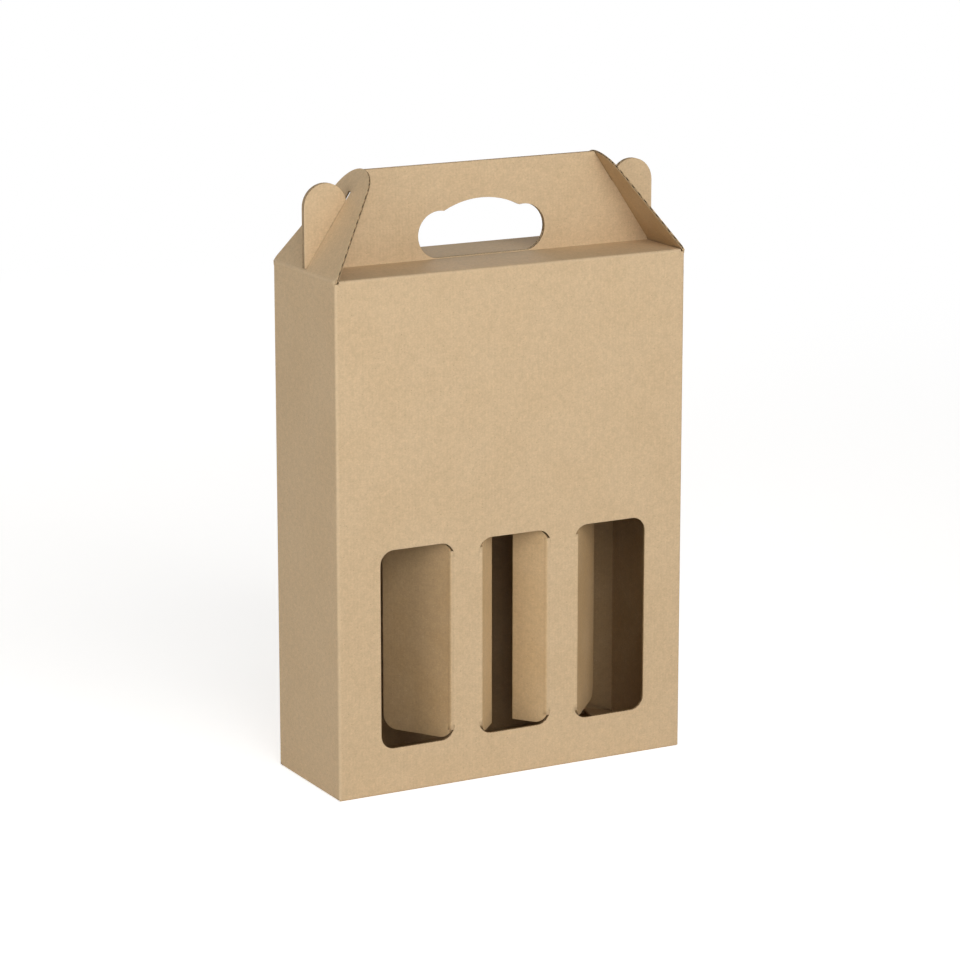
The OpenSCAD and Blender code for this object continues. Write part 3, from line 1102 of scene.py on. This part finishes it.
@dataclass
class Carton:
    """The folded carton: its liner on every CAD node, its cut edges and its moving creases."""

    liner: KraftLiner = KraftLiner()
    medium: FlutedMedium = FlutedMedium()
    # The painted shade of the flutes' hollows, as a share of the medium's colour
    hollow_shade: float = 0.07
    # Painted shade on the window flaps, which stand back in the windows' recesses; the wide flaps
    # get the deeper shade
    wide_flap_painted_shade: Colour = (0.75, 0.67, 0.54)
    half_flap_painted_shade: Colour = (0.93, 0.87, 0.75)
    lock_tilt: float = math.radians(34.0)
    lock_half: float = 44.2 * MM
    left_fold: float = math.radians(58.0)
    middle_left_fold: float = math.radians(47.0)
    middle_right_fold: float = math.radians(52.0)
    right_fold: float = math.radians(48.0)
    window_crease_half: float = 60.3 * MM
    # Each band of cut edges has a name, its lowest and highest point and its lips' reach
    edge_bands: tuple[tuple[str, float, float, float], ...] = (
        ("base", -1.0, 12.0 * MM, LIP_PROUD),
        ("wall", 12.0 * MM, 340.5 * MM, 0.02 * MM),
        ("handle", 340.5 * MM, 1.0, LIP_PROUD),
    )

    def flap_ways(self) -> dict[Body, Pair]:
        """Works out how each flap stands at rest.

        Returns:
            Each flap's way from its crease and its outer liner's normal, by body.
        """
        lean_x, lean_z = math.sin(self.lock_tilt), math.cos(self.lock_tilt)
        ways = {
            Body.LEFT_LOCK: (Vector((lean_x, 0.0, lean_z)), Vector((-lean_z, 0.0, lean_x))),
            Body.RIGHT_LOCK: (Vector((-lean_x, 0.0, lean_z)), Vector((lean_z, 0.0, lean_x))),
        }
        for body, fold, way in (
            (Body.LEFT_WINDOW, self.left_fold, -1.0),
            (Body.MIDDLE_LEFT_WINDOW, self.middle_left_fold, 1.0),
            (Body.MIDDLE_RIGHT_WINDOW, self.middle_right_fold, -1.0),
            (Body.RIGHT_WINDOW, self.right_fold, 1.0),
        ):
            reach = Vector((way * math.cos(fold), math.sin(fold), 0.0))
            outer = Vector((way * math.sin(fold), -math.cos(fold), 0.0))
            ways[body] = (reach, outer)
        return ways

    def finish_nodes(self) -> dict[Body, bpy.types.Material]:
        """Gives every CAD node its liner.

        Returns:
            The materials by body.
        """
        ways, finishes = self.flap_ways(), {}
        for body in Body:
            if body is Body.CARTON:
                material = self.liner.build("liner_carton")
            elif body in (Body.LEFT_LOCK, Body.RIGHT_LOCK):
                material = self.liner.build("liner_" + body.value, FluteRun.ALONG_DEPTH,
                                            outward=ways[body][1])
            else:
                wide = body in (Body.LEFT_WINDOW, Body.RIGHT_WINDOW)
                # Each window flap's painted shade
                painted_shade = self.wide_flap_painted_shade if wide else self.half_flap_painted_shade
                material = self.liner.build("liner_" + body.value, FluteRun.ALONG_FLAP,
                                            ways[body][0], ways[body][1], painted_shade)
            node = frame["nodes"][body.value]
            node.data.materials.clear()
            node.data.materials.append(material)
            finishes[body] = material
            LOG.info("%s: liner", body.value)
        return finishes

    def dress_edges(self, finishes: dict[Body, bpy.types.Material]) -> None:
        """Lays the fluted cut edge along every cut of every body.

        Args:
            finishes: The liners by body.
        """
        tree, ways = FluteTree(), self.flap_ways()
        medium = self.medium.build("medium_edge", 1.0)
        # The dark copy of the medium, as painted shade in the hollows
        hollow = self.medium.build("hollow_painted_shade", self.hollow_shade)
        for body in Body:
            dresser = EdgeDresser(tree, finishes[body], medium, hollow)
            outward = ways[body][1] if body in ways else None
            found = dresser.finder.segments(frame["nodes"][body.value], outward)
            lines = dresser.finder.chains(found)
            if body is not Body.CARTON:
                dresser.dress(body.value + "_edges", lines, body)
                continue
            for title, low, high, proud in self.edge_bands:
                part = [line for line in lines
                        if low <= sum(p.z for p in line.points) / len(line.points) < high]
                if part:
                    dresser.dress("carton_" + title + "_edges", part, body, proud)

    def bend_creases(self, finishes: dict[Body, bpy.types.Material]) -> None:
        """Bends the outer liner over every moving crease.

        Args:
            finishes: The liners by body.
        """
        ways = self.flap_ways()
        down, front = Vector((0.0, 0.0, -1.0)), Vector((0.0, -1.0, 0.0))
        joints = {j["child"]: j["name"] for j in frame["joints"]}
        for body, (reach, outer) in ways.items():
            if body in (Body.LEFT_LOCK, Body.RIGHT_LOCK):
                way, out = down, Vector((math.copysign(1.0, outer.x), 0.0, 0.0))
                half = self.lock_half
            else:
                way, out = Vector((-math.copysign(1.0, reach.x), 0.0, 0.0)), front
                half = self.window_crease_half
            CreaseSkin(body, joints[body.value], way, out, reach, outer, half).build(finishes[body])

    def build(self) -> None:
        """Dresses the whole carton."""
        finishes = self.finish_nodes()
        self.dress_edges(finishes)
        self.bend_creases(finishes)


# The studio


@dataclass(frozen=True)
class Lamp:
    """A square soft lamp: its bearing, left of the front, its rise, size and power."""

    name: str
    azimuth: float
    elevation: float
    power: float
    distance: float = 2.6
    size: float = 1.8


@dataclass
class Studio:
    """A pale floor that fades into a white surround, soft lamps and the camera."""

    floor_half: float = 6.0
    floor_roughness: float = 0.9
    fade_start: float = 0.55
    fade_end: float = 1.9
    floor_colour: Colour = (0.90, 0.90, 0.90)
    world_strength: float = 0.07
    world_colour: Colour = (1.0, 0.88, 0.72)
    floor_glow: float = 0.63
    camera_place: tuple[float, float, float] = (-1.1226, -2.0743, 0.7548)
    camera_turn: tuple[float, float, float] = (90.0 - 13.48, 0.0, -28.41)
    aim_height: float = 0.18
    lens: float = 138.22
    sensor: float = 36.0
    clip: tuple[float, float] = (0.05, 50.0)
    lamps: tuple[Lamp, ...] = (
        Lamp("front_lamp", 8.0, 26.0, 31.0, 2.2),
        Lamp("right_lamp", -30.0, 22.0, 12.0),
        Lamp("left_lamp", 80.0, 15.0, 24.0),
        Lamp("back_lamp", 190.0, 5.0, 28.0),
    )

    def seen(self, graph: Graph) -> bpy.types.NodeSocket:
        """Picks the rays that show the surround: from the camera, in gloss or through glass.

        Args:
            graph: The graph of the floor or the world.

        Returns:
            A socket that is 1 for such rays and 0 for those that light the carton.
        """
        path = graph.add("ShaderNodeLightPath")
        total = graph.math("ADD", path.outputs["Is Camera Ray"], path.outputs["Is Glossy Ray"])
        return graph.math("ADD", total, path.outputs["Is Transmission Ray"], clamp=True)

    def floor(self) -> None:
        """Lays the floor, which keeps the shadow near the carton and turns white farther out."""
        mesh = bpy.data.meshes.new("floor")
        half = self.floor_half
        points = [(-half, -half, 0.0), (half, -half, 0.0), (half, half, 0.0), (-half, half, 0.0)]
        mesh.from_pydata(points, [], [(0, 1, 2, 3)])
        material, graph, shader = new_material("floor_pale")
        shader.inputs["Base Color"].default_value = rgba(self.floor_colour)
        shader.inputs["Roughness"].default_value = self.floor_roughness
        shader.inputs["Specular IOR Level"].default_value = 0.0
        shader.inputs["Emission Color"].default_value = rgba(WHITE)
        seen = self.seen(graph)
        glow = graph.math("MULTIPLY", seen, self.floor_glow)
        graph.join(glow, shader.inputs["Emission Strength"])
        where = graph.add("ShaderNodeTexCoord")
        reach = graph.vector_math("LENGTH", where.outputs["Object"]).outputs["Value"]
        far = graph.math("MULTIPLY", graph.ramp(reach, self.fade_start, self.fade_end), seen)
        white = graph.add("ShaderNodeEmission")
        mix = graph.add("ShaderNodeMixShader")
        graph.join(far, mix.inputs[0])
        graph.join(shader.outputs[0], mix.inputs[1])
        graph.join(white.outputs[0], mix.inputs[2])
        output = next(n for n in material.node_tree.nodes if n.type == "OUTPUT_MATERIAL")
        graph.join(mix.outputs[0], output.inputs[0])
        mesh.materials.append(material)
        link("floor", mesh)

    def world(self) -> None:
        """Makes the surround white to the camera and soft to the carton."""
        world = bpy.data.worlds.new("surround")
        bpy.context.scene.world = world
        world.use_nodes = True
        graph = Graph(world.node_tree)
        back = world.node_tree.nodes["Background"]
        seen = self.seen(graph)
        colour = graph.blend(seen, rgba(self.world_colour), rgba(WHITE))
        graph.join(colour, back.inputs["Color"])
        graph.join(graph.ramp(seen, 0.0, 1.0, self.world_strength, 1.0), back.inputs["Strength"])

    def hang(self, lamp: Lamp) -> None:
        """Hangs a lamp that faces the carton.

        Args:
            lamp: Its place, size and power.
        """
        turn, rise = math.radians(lamp.azimuth), math.radians(lamp.elevation)
        aim = Vector((0.0, 0.0, self.aim_height))
        level = math.cos(rise)
        way = Vector((-math.sin(turn) * level, -math.cos(turn) * level, math.sin(rise)))
        data = bpy.data.lights.new(lamp.name, "AREA")
        data.size, data.energy = lamp.size, lamp.power
        hung = bpy.data.objects.new(lamp.name, data)
        bpy.context.scene.collection.objects.link(hung)
        hung.location = aim + way * lamp.distance
        hung.rotation_euler = (-way).to_track_quat("-Z", "Y").to_euler()

    def camera(self) -> None:
        """Sets the camera at the photograph's angle."""
        data = bpy.data.cameras.new("camera")
        data.lens, data.sensor_width = self.lens, self.sensor
        data.clip_start, data.clip_end = self.clip
        camera = bpy.data.objects.new("camera", data)
        bpy.context.scene.collection.objects.link(camera)
        camera.location = self.camera_place
        camera.rotation_euler = tuple(math.radians(a) for a in self.camera_turn)
        bpy.context.scene.camera = camera

    def build(self) -> None:
        """Sets the whole studio."""
        bpy.context.scene.view_settings.view_transform = "Standard"
        self.floor()
        self.world()
        for lamp in self.lamps:
            self.hang(lamp)
        self.camera()


def main() -> None:
    """Builds the carton and the studio."""
    logging.basicConfig(level=logging.INFO, format="%(name)s %(message)s")
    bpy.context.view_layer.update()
    Carton().build()
    Studio().build()


if __name__ == "__main__":
    main()
